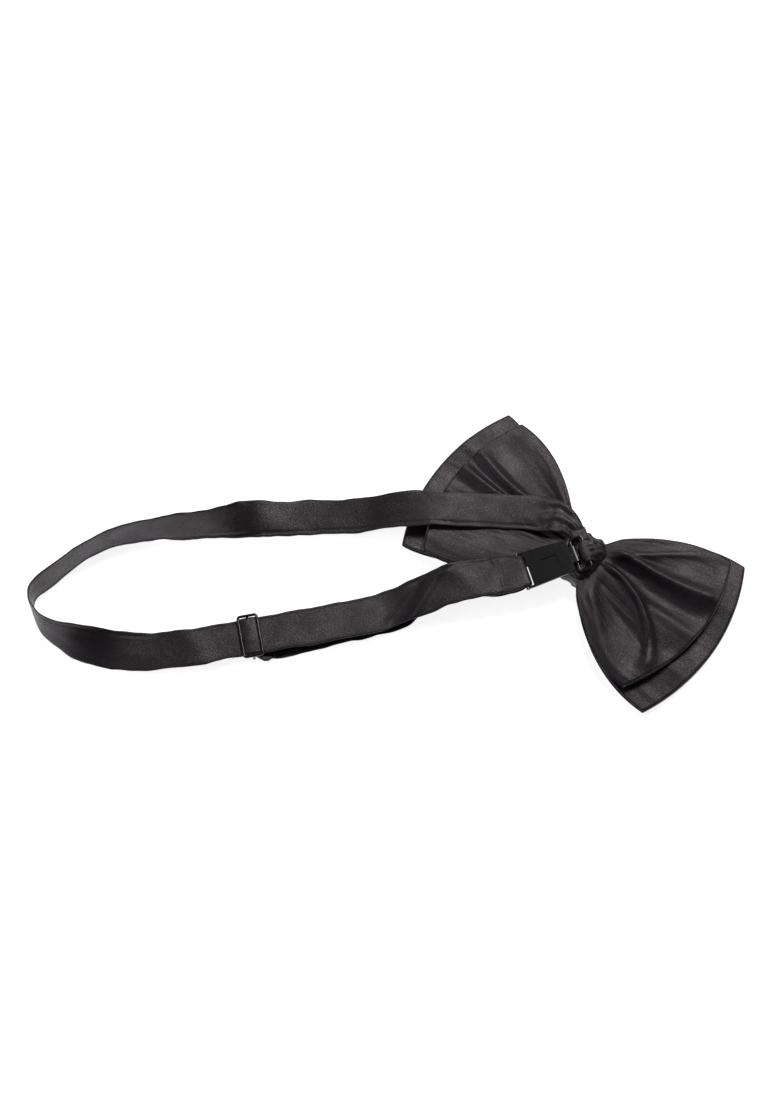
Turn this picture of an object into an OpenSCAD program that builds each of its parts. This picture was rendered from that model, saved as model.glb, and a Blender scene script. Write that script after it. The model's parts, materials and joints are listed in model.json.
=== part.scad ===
// Pre-tied double bow tie with an adjustable neck band, lying on its face.
// X runs along the neck band towards the bow, Y away from the wearer's near strand,
// Z up from the table. The origin is at the knot's centre, on the table. Millimetres.

/* [Bow] */
// Turn of the bow in its plane, from the neck band's line to the bow's length
bow_turn = -37; // [-60:1:-10]
// Length of the left wing, from the knot's centre to the middle of its outer edge
left_wing = 70; // [56:1:84]
// Length of the right wing, from the knot's centre to the middle of its outer edge
right_wing = 59; // [48:1:84]
// Height of each wing of the large layer at its outer corners
wing_h = 73; // [58:1:88]
// How far each outer edge bulges beyond its corners
edge_rise = 8.5; // [5:0.5:11]
// How much shorter each wing of the small layer is
small_short = 8; // [5:0.5:11]
// How much lower each wing of the small layer is
small_low = 6; // [3:0.5:10]
// Thickness of one pressed layer of the bow
layer_t = 3.7; // [3:0.1:4.6]
// Thickness of one satin ply of the bow
ply_t = 0.8; // [0.6:0.1:1]

/* [Knot] */
// Length of the knot along the bow
knot_l = 15; // [12:0.5:18]
// Width of the knot across the bow
knot_w = 17.5; // [14.5:0.5:21]
// Height of the knot above the table
knot_h = 10.5; // [10:0.1:12.6]
// Thickness of the wrap's wall
wrap_t = 1.2; // [1:0.1:1.5]
// Thickness of the strip of interfacing inside the wrap
strip_t = 0.5; // [0.3:0.1:0.6]
// Diameter of the sewing and binding thread
thread_d = 0.4; // [0.3:0.05:0.5]

/* [Neck band] */
// Width of the neck band
band_w = 15; // [12.5:0.5:18]
// Thickness of one run of the neck band
band_t = 0.8; // [0.6:0.1:1]

/* [Hook and ring] */
// Turn of the hook and ring in the plane of the table
clasp_turn = 17; // [10:1:24]
// Slope of the hook and ring, down from the knot to the neck band
clasp_tip = 8; // [5:1:9]
// Outer length of the wire ring, along the bar that the hook holds
ring_l = 14.6; // [12:0.1:17.6]
// Outer depth of the wire ring
ring_d = 6; // [5.5:0.1:7.2]
// Diameter of the ring's wire
ring_wire = 1.2; // [1:0.05:1.3]
// Distance from the hook's strap bar to the ring bar that it holds
hook_reach = 21.3; // [18:0.1:25.6]
// Width of the hook at its strap bar
hook_w = 15.2; // [12.6:0.1:18.2]
// Width of the hook's plate at its nose
hook_nose_w = 13.4; // [11:0.1:16]
// Thickness of the hook's plate
hook_t = 0.8; // [0.6:0.1:1]
// Width of the claw that bends over the ring
claw_w = 6.4; // [5:0.1:7.6]

/* [Slider] */
// Length of the slider along the neck band
slider_l = 8.4; // [7:0.1:10]
// Diameter of the slider's wire
slider_wire = 1.1; // [0.9:0.05:1.3]

/* [Fits] */
// Gap between pieces that slide or swing past each other
run_gap = 0.25; // [0.2:0.01:0.3]
// Radial gap of a bar inside a fold of fabric
pin_gap = 0.05; // [0.03:0.01:0.1]

/* [Hidden] */
satin = "#1d1b1e";
lining = "#37353a";
enamel = "#0f0f11";
thread = "#26242a";
$fn = 48;

// Heights of the stacked layers of the bow
lay_gap = 0.3;
small_z = layer_t + lay_gap;
wing_top = small_z + layer_t;

// The tunnel through the knot, and what it holds at the pinched waist
tunnel_w = knot_w - 2 * wrap_t;
tunnel_top = knot_h - wrap_t;
wind_gap = 0.12;
waist_z = wrap_t + strip_t + thread_d + wind_gap + 0.05;
waist_top = tunnel_top - thread_d - wind_gap - 0.05;
waist_t = (waist_top - waist_z - 0.1) / 2;
waist_half = tunnel_w / 2 - thread_d - 0.6;
waist_u = knot_l / 2 + 0.5;
rise_u = waist_u + 1;
flat_u = rise_u + 14;
wound_l = 5;
turns = 8;

// The ring, its tab and the hook share one sloping frame, on the ring's held bar
ring_r = ring_wire / 2;
ring_span = ring_d - ring_wire;
ring_pos = [-4.8, 0, knot_h + 1.1 + ring_r];
tab_w = ring_l - 2 * ring_wire - 3.6;
tab_t = 0.75;
tab_reach = 5.5;
sewn_end = [6, 5.5, band_t];

// The hook
hook_z = ring_r + run_gap;
bar_r = hook_t / 2 + 0.25;
bar_z = hook_z + hook_t / 2;
rail_w = 0.9;
slot_l = 2;
plate_back = bar_r + slot_l - hook_reach;
plate_front = -1.6;
loop_w = hook_w - 2 * rail_w - 2 * run_gap;
loop_r = bar_r + pin_gap + band_t;
stamp = [6.4, 4.6, 0.35];
claw_end = 28;

// The slider, and the plies that it rides on
slider_pos = [-129.5, -30.5, 0];
slide_turn = 11;
slider_r = slider_wire / 2;
return_z = 0.05;
end_loop_r = slider_r + pin_gap + 0.5;
mid_bar_z = return_z + band_t + run_gap + end_loop_r;
near_z = mid_bar_z + end_loop_r + run_gap;
top_bar_z = near_z + band_t + run_gap + slider_r;
rail_y = band_w / 2 + run_gap + slider_r + 0.05;
tail_l = 6.5;

// The neck band's route: place, height of the lower edge, roll and width.
// A roll of 180 lies flat on the far side, 90 stands on edge and 0 lies flat nearby.
apex = [-214, -17];
split_gap = 0.6;
off_wing = -left_wing - 2;
over_wing = wing_top + lay_gap;
root_z = knot_h + band_t + 0.3;
root_w = band_w - 6;
near_over = over_wing + band_t + run_gap;
far_route = [
    [-3, 12.5, root_z, 180, root_w],
    [-9, 16.5, root_z - 0.5, 180, root_w + 2],
    [-18, 19, max(over_wing, root_z - 2.6), 180, band_w - 1],
    [-33, 20.5, over_wing, 180, band_w],
    [off_wing + 23, 21.5, over_wing, 180, band_w],
    [off_wing + 10, 22, over_wing, 180, band_w],
    [off_wing - 4, 22, small_z + 1.5, 180, band_w],
    [off_wing - 16, 21.5, 2.2, 180, band_w],
    [-112, 21, 0.3, 180, band_w],
    [-126, 20.4, 0.1, 168, band_w],
    [-135, 18, 0.1, 138, band_w],
    [-145, 15.8, 0.1, 115, band_w],
    [-155, 14.6, 0.1, 109, band_w],
    [-165, 13.4, 0.1, 105, band_w],
    [-176, 11.8, 0.1, 98, band_w],
    [-186, 8.6, 0.1, 92, band_w],
    [-195, 3.4, 0.1, 90, band_w],
    [-203.5, -3.6, 0.1, 90, band_w],
    [-210, -9.6, 0.1, 90, band_w],
    [-213.4, -13.6, 0.1, 90, band_w],
    [apex.x, apex.y + split_gap / 2, 0.1, 90, band_w]
];
turn_route = [
    [apex.x, apex.y - split_gap / 2, 0.1, 90, band_w],
    [-213, -21, 0.1, 88, band_w],
    [-209, -27, 0.1, 80, band_w],
    [-202, -31, 0.1, 64, band_w],
    [-194, -33.5, 0.1, 42, band_w],
    [-180, -35.5, 0.1, 15, band_w],
    [-166, -36, 1.6, 2, band_w]
];
straight_route = [for (d = [-24, -14, 0, 20, 45, 56]) slide_point(d, near_z, band_w)];
lift_route = [
    [-64, -15.5, near_over - 2.6, 0, band_w],
    [-51, -10.5, near_over, 0, band_w],
    [-37, -8, near_over + 0.3, 0, band_w - 0.6]
];
return_rise = [
    [-64, -16.5, over_wing - 3.2, 0, band_w],
    [-51, -11.5, over_wing, 0, band_w],
    [-37, -8.6, over_wing, 0, band_w - 0.8]
];
hook_top = [for (x = [-4.5, -0.4]) clasp_route([x - hook_reach, 0, bar_z + loop_r - band_t])];
hook_under = [for (x = [-4.5, -0.4]) clasp_route([x - hook_reach, 0, bar_z - loop_r])];
near_route = concat(turn_route, straight_route, lift_route, hook_top);
return_route = concat([for (d = [tail_l + 3, 25, 45, 56]) slide_point(d, return_z, band_w - 0.4)],
                      return_rise, hook_under);
smooth = 4;

// A point of the strap's route in the straight stretch, d along it from the slider
function slide_point(d, z, w) =
    [slider_pos.x + d * cos(slide_turn), slider_pos.y + d * sin(slide_turn), z, 0, w];

// A place in the clasp's sloping frame, given in the part's own frame
function clasp_point(p) = let (x = p.x * cos(clasp_tip) - p.z * sin(clasp_tip),
                               z = p.x * sin(clasp_tip) + p.z * cos(clasp_tip))
    ring_pos + [x * cos(clasp_turn) - p.y * sin(clasp_turn),
                x * sin(clasp_turn) + p.y * cos(clasp_turn), z];
function clasp_route(p) = let (q = clasp_point(p)) [q.x, q.y, q.z, 0, loop_w];

// A smooth curve through a list of points of any size
function between(a, b, c, d, t) =
    0.5 * (2 * b + (c - a) * t + (2 * a - 5 * b + 4 * c - d) * t * t
           + (3 * b - a - 3 * c + d) * t * t * t);
function curve(p) = let (last = len(p) - 1) concat(
    [for (i = [0 : last - 1], s = [0 : smooth - 1])
        between(p[max(i - 1, 0)], p[i], p[i + 1], p[min(i + 2, last)], s / smooth)],
    [p[last]]);

// The strap's four corners at one point of its route
function strap_ring(p, way, t) =
    let (flat = way / norm(way), side = [-flat.y, flat.x, 0],
         across = side * cos(p[3]) + [0, 0, sin(p[3])],
         out = [-side.x * sin(p[3]), -side.y * sin(p[3]), cos(p[3])],
         mid = [p.x, p.y, p.z + t / 2 * abs(cos(p[3])) + p[4] / 2 * sin(p[3])],
         a = across * p[4] / 2, n = out * t / 2)
    [mid - a - n, mid + a - n, mid + a + n, mid - a + n];
function strap_rings(route, t) = let (c = curve(route), last = len(c) - 1)
    [for (i = [0 : last]) let (a = c[max(i - 1, 0)], b = c[min(i + 1, last)])
        strap_ring(c[i], [b.x - a.x, b.y - a.y], t)];

// Half the height of a wing at a distance from the knot's centre
function wing_half(u, reach, half, root) =
    let (corner = reach - edge_rise, arc_r = (half * half + edge_rise * edge_rise) / 2 / edge_rise,
         s = min(1, (u - root) / (corner - root)), beyond = u - (reach - arc_r),
         open = half - (half - 8) * (1 - s) * (1 - s))
    u <= corner ? open : max(0.6, sqrt(max(0, arc_r * arc_r - beyond * beyond)));

// Heights of a layer, 0 for the large one and 1 for the small one, where lift runs
// from 0 on the open wing to 1 at the pinched waist
function waist_low(lay) = waist_z + lay * (waist_t + 0.1);
function lay_low(lay, lift) = lay * small_z * (1 - lift) + waist_low(lay) * lift;
function lay_top(lay, lift) = (lay * small_z + layer_t) * (1 - lift) + (waist_low(lay) + waist_t) * lift;

// Cross-sections of a layer. A wing is a side, -1 or 1, its reach from the knot's
// centre, half its height and the place where its edges start to spread.
function layer_section(u, half, low, top) =
    [[u, -half, low], [u, half, low], [u, half, top], [u, -half, top]];
function left(lay) = [-1, left_wing - lay * small_short, (wing_h - lay * small_low) / 2, 4];
function right(lay) = [1, right_wing - lay * small_short, (wing_h - lay * small_low) / 2, 0];
function wing_stations(from, corner, tip) = concat(
    [for (k = [0 : 0.25 : 1]) from + (flat_u - from) * k],
    [for (k = [0.25 : 0.25 : 1]) flat_u + (corner - flat_u) * k],
    [for (k = [0.3 : 0.175 : 1]) corner + (tip - corner) * k]);
function wing_sections(lay, wing, from, trim, inset, edge) =
    let (reach = wing[1])
    [for (u = wing_stations(from, reach - edge_rise, reach - trim))
        let (h = wing_half(min(u + trim, reach), reach, wing[2], wing[3]) - edge,
             lift = max(0, (flat_u - u) / (flat_u - rise_u)))
        layer_section(wing[0] * u, max(0.4, h), lay_low(lay, lift) + inset,
                      lay_top(lay, lift) - inset)];
function flip(list) = [for (i = [len(list) - 1 : -1 : 0]) list[i]];
function from_left(wing, list) = wing[0] < 0 ? flip(list) : list;

// A closed solid through a row of rings that have the same number of corners
module loft(rings) {
    m = len(rings[0]);
    n = len(rings);
    sides = [for (i = [0 : n - 2], j = [0 : m - 1], half = [0, 1])
        let (a = i * m + j, b = a + m, c = (i + 1) * m + (j + 1) % m, d = i * m + (j + 1) % m)
        half == 0 ? [a, b, c] : [a, c, d]];
    start = [[for (j = [0 : m - 1]) j]];
    end = [[for (j = [m - 1 : -1 : 0]) (n - 1) * m + j]];
    polyhedron([for (r = rings, p = r) p], concat(sides, start, end), convexity = 6);
}

module in_bow() {
    rotate([0, 0, bow_turn]) children();
}

module in_clasp() {
    translate(ring_pos) rotate([0, -clasp_tip, clasp_turn]) children();
}

// On the back of the knot, below the ring's tab bar
module on_knot() {
    foot = clasp_point([ring_span, 0, 0]);
    translate([foot.x, foot.y, knot_h]) rotate([0, 0, clasp_turn]) children();
}

module in_slider() {
    translate(slider_pos) rotate([0, 0, slide_turn]) children();
}

// A layer's outer form, both wings and the waist between them
module layer_form(lay) {
    waist = [for (u = [-waist_u, waist_u])
        layer_section(u, waist_half, waist_low(lay), waist_low(lay) + waist_t)];
    loft(concat(flip(wing_sections(lay, left(lay), rise_u, 0, 0, 0)), waist,
                wing_sections(lay, right(lay), rise_u, 0, 0, 0)));
}

// What lies between the two plies of one wing, in from the faces and the edges
module wing_space(lay, wing, inset, edge) {
    loft(from_left(wing, wing_sections(lay, wing, rise_u + 5 + inset, ply_t + 0.4 + inset,
                                       ply_t + inset, edge)));
}

// A ribbon layer: two plies joined by the folds at its outer edges and at the waist,
// open at the wings' upper and lower edges
module layer(lay) {
    difference() {
        layer_form(lay);
        for (wing = [left(lay), right(lay)]) wing_space(lay, wing, 0, -3);
    }
}

module layer_stiffening(lay) {
    for (wing = [left(lay), right(lay)]) wing_space(lay, wing, 0.1, 1.2);
}

module rounded_bar(size_y, size_z, r) {
    square([size_y - 2 * r, size_z], center = true);
    square([size_y, size_z - 2 * r], center = true);
    for (y = [-1, 1], z = [-1, 1])
        translate([y * (size_y / 2 - r), z * (size_z / 2 - r)]) circle(r);
}

// A tube of rounded outline along the bow, from one height to another
module bow_tube(length, width, low, top, r, wall) {
    translate([-length / 2, 0, (low + top) / 2]) rotate([90, 0, 90]) linear_extrude(length)
        difference() {
            rounded_bar(width, top - low, r);
            rounded_bar(width - 2 * wall, top - low - 2 * wall, max(0.3, r - wall));
        }
}

// One stitch of thread lying along Y
module stitch(length) {
    rotate([90, 0, 0]) cylinder(d = thread_d, h = length, center = true);
}

// A bar of wire along Y with round ends
module wire_y(length, r) {
    rotate([90, 0, 0]) cylinder(r = r, h = length, center = true);
    for (y = [-1, 1]) translate([0, y * length / 2, 0]) sphere(r);
}

module wire_x(length, r) {
    rotate([0, 90, 0]) cylinder(r = r, h = length, center = true);
}

// --- The bow -------------------------------------------------------------

module large_bow() {
    color(satin) in_bow() layer(0);
}

module small_bow() {
    color(satin) in_bow() layer(1);
}

module large_bow_interfacing() {
    color(lining) in_bow() layer_stiffening(0);
}

module small_bow_interfacing() {
    color(lining) in_bow() layer_stiffening(1);
}

// Thread wound round the two pinched layers
module waist_thread() {
    pitch = wound_l / turns;
    color(thread) in_bow() for (i = [0 : turns - 1])
        translate([(i + 0.5) * pitch - wound_l / 2, 0, 0])
            bow_tube(pitch * 0.9, 2 * (waist_half + wind_gap + thread_d),
                     waist_z - wind_gap - thread_d, waist_top + wind_gap + thread_d, 0.8, thread_d);
}

// --- The knot ------------------------------------------------------------

module knot_wrap() {
    color(satin) in_bow() bow_tube(knot_l, knot_w, 0, knot_h, 2.6, wrap_t);
}

// The strip that lines the wrap's front face
module knot_interfacing() {
    color(lining) in_bow() translate([0, 0, wrap_t + strip_t / 2])
        cube([knot_l - 1, tunnel_w - 3.2, strip_t], center = true);
}

// Hand stitches that close the wrap at the back of the knot
module knot_stitches() {
    color(thread) in_bow() for (i = [-2 : 2])
        translate([knot_l * 0.16 * i, -knot_w * 0.3, knot_h + thread_d / 2]) stitch(1.4);
}

// --- The ring and its tab --------------------------------------------------

module eye_ring() {
    side_y = ring_l / 2 - ring_r;
    bend = 1.1;
    color(enamel) in_clasp() translate([ring_span / 2, 0, 0]) {
        for (x = [-1, 1]) translate([x * ring_span / 2, 0, 0])
            rotate([90, 0, 0]) cylinder(r = ring_r, h = 2 * (side_y - bend), center = true);
        for (y = [-1, 1]) translate([0, y * side_y, 0]) wire_x(ring_span - 2 * bend, ring_r);
        for (x = [0, 1], y = [0, 1]) mirror([x, 0, 0]) mirror([0, y, 0])
            translate([ring_span / 2 - bend, side_y - bend, 0])
                rotate_extrude(angle = 90) translate([bend, 0]) circle(ring_r);
    }
}

// Satin tab folded round the ring's back bar and laid on the knot
module ring_tab() {
    sleeve_r = ring_r + pin_gap + tab_t;
    color(satin) difference() {
        hull() {
            in_clasp() translate([ring_span, 0, 0]) rotate([90, 0, 0])
                cylinder(r = sleeve_r, h = tab_w, center = true, $fn = 32);
            on_knot() translate([0, -tab_w / 2, 0]) cube([tab_reach, tab_w, 1.2]);
        }
        in_clasp() translate([ring_span, 0, 0]) rotate([90, 0, 0])
            cylinder(r = ring_r + pin_gap, h = tab_w + 2, center = true);
    }
}

module ring_tab_stitches() {
    color(thread) on_knot()
        for (i = [-2 : 2]) translate([tab_reach + thread_d / 2 + 0.02, i * tab_w / 5.4, 0.4])
            rotate([0, 90, 90]) cylinder(d = thread_d, h = 1.2, center = true);
}

// --- The neck band ---------------------------------------------------------

// The end of the strap that is sewn down on the knot, beside the ring's tab
module on_sewn_end() {
    on_knot() translate([0, tab_w / 2 + 0.6, 0]) children();
}

module band_sewn_end() {
    color(satin) on_sewn_end() translate([-sewn_end.x / 2, 0, 0]) cube(sewn_end);
}

module band_end_stitches() {
    color(thread) on_sewn_end()
        for (i = [-1 : 1]) translate([i * sewn_end.x / 4, 1, band_t + thread_d / 2]) stitch(1);
}

module neck_band_far() {
    color(satin) loft(strap_rings(far_route, band_t));
}

module neck_band_near() {
    color(satin) loft(strap_rings(near_route, band_t));
}

// The run of strap that comes back from the hook to the slider
module neck_band_return() {
    color(satin) loft(strap_rings(return_route, band_t));
}

// The fold of the strap round the hook's bar
module hook_loop() {
    color(satin) in_clasp() translate([-hook_reach, 0, bar_z]) rotate([90, 0, 0])
        difference() {
            cylinder(r = loop_r, h = loop_w, center = true);
            cylinder(r = bar_r + pin_gap, h = loop_w + 2, center = true);
        }
}

// --- The hook ----------------------------------------------------------------

module hook() {
    back = hook_w / 2;
    nose = hook_nose_w / 2;
    inner = back - rail_w;
    edge = [[-hook_reach, back], [plate_back, back], [plate_front - 1, nose],
            [plate_front, nose - 1]];
    slot = [[-hook_reach, -inner], [plate_back, -inner], [plate_back, inner],
            [-hook_reach, inner]];
    outline = concat(edge, [for (p = flip(edge)) [p.x, -p.y]], slot);
    color(enamel) in_clasp() {
        difference() {
            translate([0, 0, hook_z]) linear_extrude(hook_t) polygon(outline);
            translate([(plate_back + plate_front) / 2 - stamp.x / 2, -stamp.y / 2,
                       hook_z + hook_t - stamp.z]) cube(stamp);
        }
        rotate([90, 0, 0]) linear_extrude(claw_w, center = true) claw_profile();
        translate([-hook_reach, 0, bar_z]) rotate([90, 0, 0])
            cylinder(r = bar_r, h = hook_w + 0.3, center = true);
    }
}

// The claw seen from the side: a tongue of the plate that bends down round the ring
module claw_profile() {
    outer = hook_z + hook_t;
    translate([plate_front - 0.6, hook_z]) square([0.6 - plate_front, hook_t]);
    difference() {
        circle(outer);
        circle(hook_z);
        polygon([[0, 0], [0, 3 * outer], [-3 * outer, 3 * outer], [-3 * outer, -3 * outer],
                 [3 * outer * cos(claw_end), -3 * outer], 3 * outer * [cos(claw_end), -sin(claw_end)]]);
    }
}

// --- The slider ----------------------------------------------------------------

module slider() {
    end_x = slider_l / 2 - slider_r;
    bend = 1;
    drop = top_bar_z - mid_bar_z;
    color(enamel) in_slider() {
        translate([0, 0, top_bar_z]) {
            for (x = [-1, 1]) translate([x * end_x, 0, 0]) rotate([90, 0, 0])
                cylinder(r = slider_r, h = 2 * (rail_y - bend), center = true);
            for (y = [-1, 1]) translate([0, y * rail_y, 0]) wire_x(2 * (end_x - bend), slider_r);
            for (x = [0, 1], y = [0, 1]) mirror([x, 0, 0]) mirror([0, y, 0])
                translate([end_x - bend, rail_y - bend, 0])
                    rotate_extrude(angle = 90) translate([bend, 0]) circle(slider_r);
        }
        for (y = [-1, 1]) translate([0, y * rail_y, mid_bar_z]) cylinder(r = slider_r, h = drop);
        translate([0, 0, mid_bar_z]) wire_y(2 * rail_y, slider_r);
    }
}

// The strap's sewn end, folded round the slider's middle bar
module slider_loop() {
    width = band_w - 1;
    tail_t = 0.6;
    color(satin) in_slider() translate([0, 0, mid_bar_z]) rotate([90, 0, 0]) difference() {
        union() {
            cylinder(r = end_loop_r, h = width, center = true);
            translate([0, -end_loop_r, -width / 2]) cube([tail_l, tail_t, width]);
        }
        cylinder(r = slider_r + pin_gap, h = width + 2, center = true);
    }
}

module slider_loop_stitches() {
    color(thread) in_slider()
        for (i = [-3 : 3]) translate([tail_l * 0.62, i * 1.7, mid_bar_z - end_loop_r + 0.6 + thread_d / 2])
            rotate([0, 0, 90]) stitch(1.6);
}

large_bow();
small_bow();
large_bow_interfacing();
small_bow_interfacing();
waist_thread();
knot_interfacing();
knot_wrap();
knot_stitches();
ring_tab();
ring_tab_stitches();
band_sewn_end();
band_end_stitches();
eye_ring();
neck_band_far();
neck_band_near();
neck_band_return();
hook_loop();
hook();
slider();
slider_loop();
slider_loop_stitches();
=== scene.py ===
"""A pre-tied double bow tie in black satin, with its neck band, hook, ring and slider."""

import json
import math

import bpy
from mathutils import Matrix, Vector, noise

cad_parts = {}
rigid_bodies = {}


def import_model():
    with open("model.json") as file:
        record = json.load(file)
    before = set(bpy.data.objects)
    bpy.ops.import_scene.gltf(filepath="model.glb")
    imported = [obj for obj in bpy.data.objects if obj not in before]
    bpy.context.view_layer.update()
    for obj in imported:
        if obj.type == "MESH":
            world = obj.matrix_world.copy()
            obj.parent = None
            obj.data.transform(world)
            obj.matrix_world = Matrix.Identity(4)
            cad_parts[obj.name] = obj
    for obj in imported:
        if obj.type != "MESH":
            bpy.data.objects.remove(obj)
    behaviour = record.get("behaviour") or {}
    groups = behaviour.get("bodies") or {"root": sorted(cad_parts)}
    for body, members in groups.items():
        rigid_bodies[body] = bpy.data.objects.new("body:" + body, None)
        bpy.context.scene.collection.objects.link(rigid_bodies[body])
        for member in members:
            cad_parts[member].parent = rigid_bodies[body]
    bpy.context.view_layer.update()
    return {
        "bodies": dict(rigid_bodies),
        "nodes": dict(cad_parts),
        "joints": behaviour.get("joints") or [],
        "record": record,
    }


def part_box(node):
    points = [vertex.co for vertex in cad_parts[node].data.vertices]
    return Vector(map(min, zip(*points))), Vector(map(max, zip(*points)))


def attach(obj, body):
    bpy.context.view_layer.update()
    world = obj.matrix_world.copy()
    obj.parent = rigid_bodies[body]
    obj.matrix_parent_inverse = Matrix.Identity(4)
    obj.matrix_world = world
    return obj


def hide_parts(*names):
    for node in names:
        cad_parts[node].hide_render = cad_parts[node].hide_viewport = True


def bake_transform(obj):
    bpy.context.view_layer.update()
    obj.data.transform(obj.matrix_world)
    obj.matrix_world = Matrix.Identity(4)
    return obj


bl_info = {
    "name": "Pre-tied bow tie",
    "version": (1, 0, 0),
    "blender": (4, 5, 0),
    "location": "View3D > Sidebar > Bow tie",
    "description": "Builds the cloth, thread and finishes of a ready-tied bow tie round its frame",
    "category": "Object",
}

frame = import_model()

# Geometry is worked out in millimetres, and goes into the scene in metres
MM = 0.001
JOINTS = {joint["name"]: joint for joint in frame["joints"]}
MOUNTS = {mount["name"]: mount for mount in frame["record"]["mounts"]}


def in_mm(point):
    return Vector(point) / MM


# --- Places taken from the frame ---------------------------------------------

TAB_BAR = in_mm(JOINTS["neck_fold"]["pos_m"])
HELD_BAR = in_mm(MOUNTS["hook_mouth"]["pos_m"])
HOOK_BAR = in_mm(JOINTS["hook_tilt"]["pos_m"])
CLASP_X = (TAB_BAR - HELD_BAR).normalized()
CLASP_Y = Vector(JOINTS["neck_fold"]["axis"]).normalized()
CLASP_Z = CLASP_X.cross(CLASP_Y)
KNOT_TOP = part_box("knot_wrap")[1].z / MM
SLIDE_X = Vector(JOINTS["slider_slide"]["axis"]).normalized()
SLIDE_Y = Vector((-SLIDE_X.y, SLIDE_X.x, 0))
SLIDER_LOW, SLIDER_HIGH = (in_mm(corner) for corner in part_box("slider"))
CLASP_FLAT_X = Vector((CLASP_X.x, CLASP_X.y, 0)).normalized()
UP = Vector((0, 0, 1))

# --- Driving sizes of the cloth, in millimetres --------------------------------

BOW_TURN = math.radians(-37)
OUTER_RISE = 8.5
ROOT_HALF = 8
LAYER_T = 3.7
LAYER_STEP = 4
FOLD_FLAT = 0.8
RISE_U, FLAT_U = 9, 23
WING_START = {-1: 12.5, 1: 6.2}
# Rows through the knot: place along the bow and half height there
WAIST_ROWS = ((-10.5, 7.4), (-7, 6.5), (-3, 6.5), (0.5, 7.6), (2.6, 9.8), (4.5, 12.6))
WAIST_LOW, WAIST_T, WAIST_HALF = 2.37, 3.13, 6.5
KNOT_HALF_W, KNOT_START, KNOT_END = 8.75, -11.0, 5.5
STRAP_T = 0.8
OVER_WING = 8.0
WIRE_R = 0.55
BAR_R = 0.65
THREAD_R = 0.2
FELT_T = 0.4
# The strap's width as woven, and where it is gathered round the hook's bar
STRAP_W, HOOK_FOLD_W = 15, 12.6
# The middle of the slider's thickness, and its place along the tie
SLIDER_MID = (SLIDER_LOW.z + WIRE_R + SLIDER_HIGH.z - WIRE_R) / 2
SLIDER_X = -129.5

# Rows of points from the knot to the outer edge of a ply, and points across it
ROWS_PER_PLY, POINTS_ACROSS = 64, 97

# A wing: its side of the knot, reach, half height, where its edges start, how fast they
# level off and its skew
LAYER_NUMBER = {"large": 0, "small": 1}
WINGS = {
    "large": ((-1, 70, 35.6, 11, 1.5, 0.0), (1, 59, 36.5, 0, 2, -0.8)),
    "small": ((-1, 62, 33.7, 11, 2, 0.5), (1, 51, 33.5, 0, 2, 2.3)),
}

# A pleat: its place across the wing at the knot, halfway and at the outer edge, its
# height in millimetres there, and its width as a share of the half height
PLEATS = {
    ("small", 1): (
        ((0.56, 0.40, 0.50), (2.4, 3.1, 2.4), (0.09, 0.085, 0.16)),
        ((0.14, -0.14, -0.74), (2.6, 3.0, 1.8), (0.075, 0.07, 0.20)),
        ((-0.10, -0.04, -0.05), (0.0, 0.6, 1.3), (0.10, 0.08, 0.11)),
        ((-0.55, -0.86, -0.93), (0.8, 1.3, 0.3), (0.20, 0.12, 0.10)),
        ((0.40, 0.80, 0.95), (0.9, 0.9, 0.0), (0.12, 0.07, 0.10)),
        ((0.34, 0.16, 0.24), (-1.6, -2.0, -1.3), (0.20, 0.20, 0.18)),
        ((-0.25, -0.45, -0.36), (-1.2, -1.8, -0.9), (0.22, 0.22, 0.16)),
    ),
    ("small", -1): (
        ((0.10, 0.08, 0.12), (1.0, 2.3, 2.3), (0.12, 0.075, 0.10)),
        ((0.42, 0.27, 0.40), (1.3, 2.4, 2.1), (0.14, 0.075, 0.12)),
        ((-0.30, -0.22, -0.22), (0.6, 0.8, 1.1), (0.16, 0.10, 0.10)),
        ((0.80, 0.88, 0.92), (1.0, 0.7, 0.2), (0.16, 0.10, 0.10)),
        ((-0.70, -0.80, -0.85), (0.8, 0.6, 0.3), (0.20, 0.14, 0.14)),
        ((0.26, 0.17, 0.26), (-1.2, -1.8, -1.3), (0.14, 0.12, 0.13)),
        ((0.62, 0.58, 0.66), (-1.0, -1.1, -0.4), (0.20, 0.22, 0.22)),
        ((-0.06, -0.07, -0.04), (-0.8, -1.2, -0.6), (0.16, 0.14, 0.14)),
    ),
    ("large", 1): (
        ((0.55, 0.45, 0.50), (0.8, 1.0, 0.7), (0.20, 0.14, 0.16)),
        ((-0.45, -0.40, -0.45), (0.8, 1.0, 0.6), (0.20, 0.16, 0.18)),
        ((0.05, 0.0, 0.0), (-0.8, -0.8, -0.3), (0.25, 0.22, 0.22)),
    ),
    ("large", -1): (
        ((0.48, 0.40, 0.44), (0.8, 1.0, 0.7), (0.20, 0.14, 0.16)),
        ((-0.40, -0.36, -0.40), (0.8, 1.0, 0.6), (0.20, 0.16, 0.18)),
        ((0.05, 0.02, 0.02), (-0.8, -0.8, -0.3), (0.25, 0.22, 0.22)),
    ),
}

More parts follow.
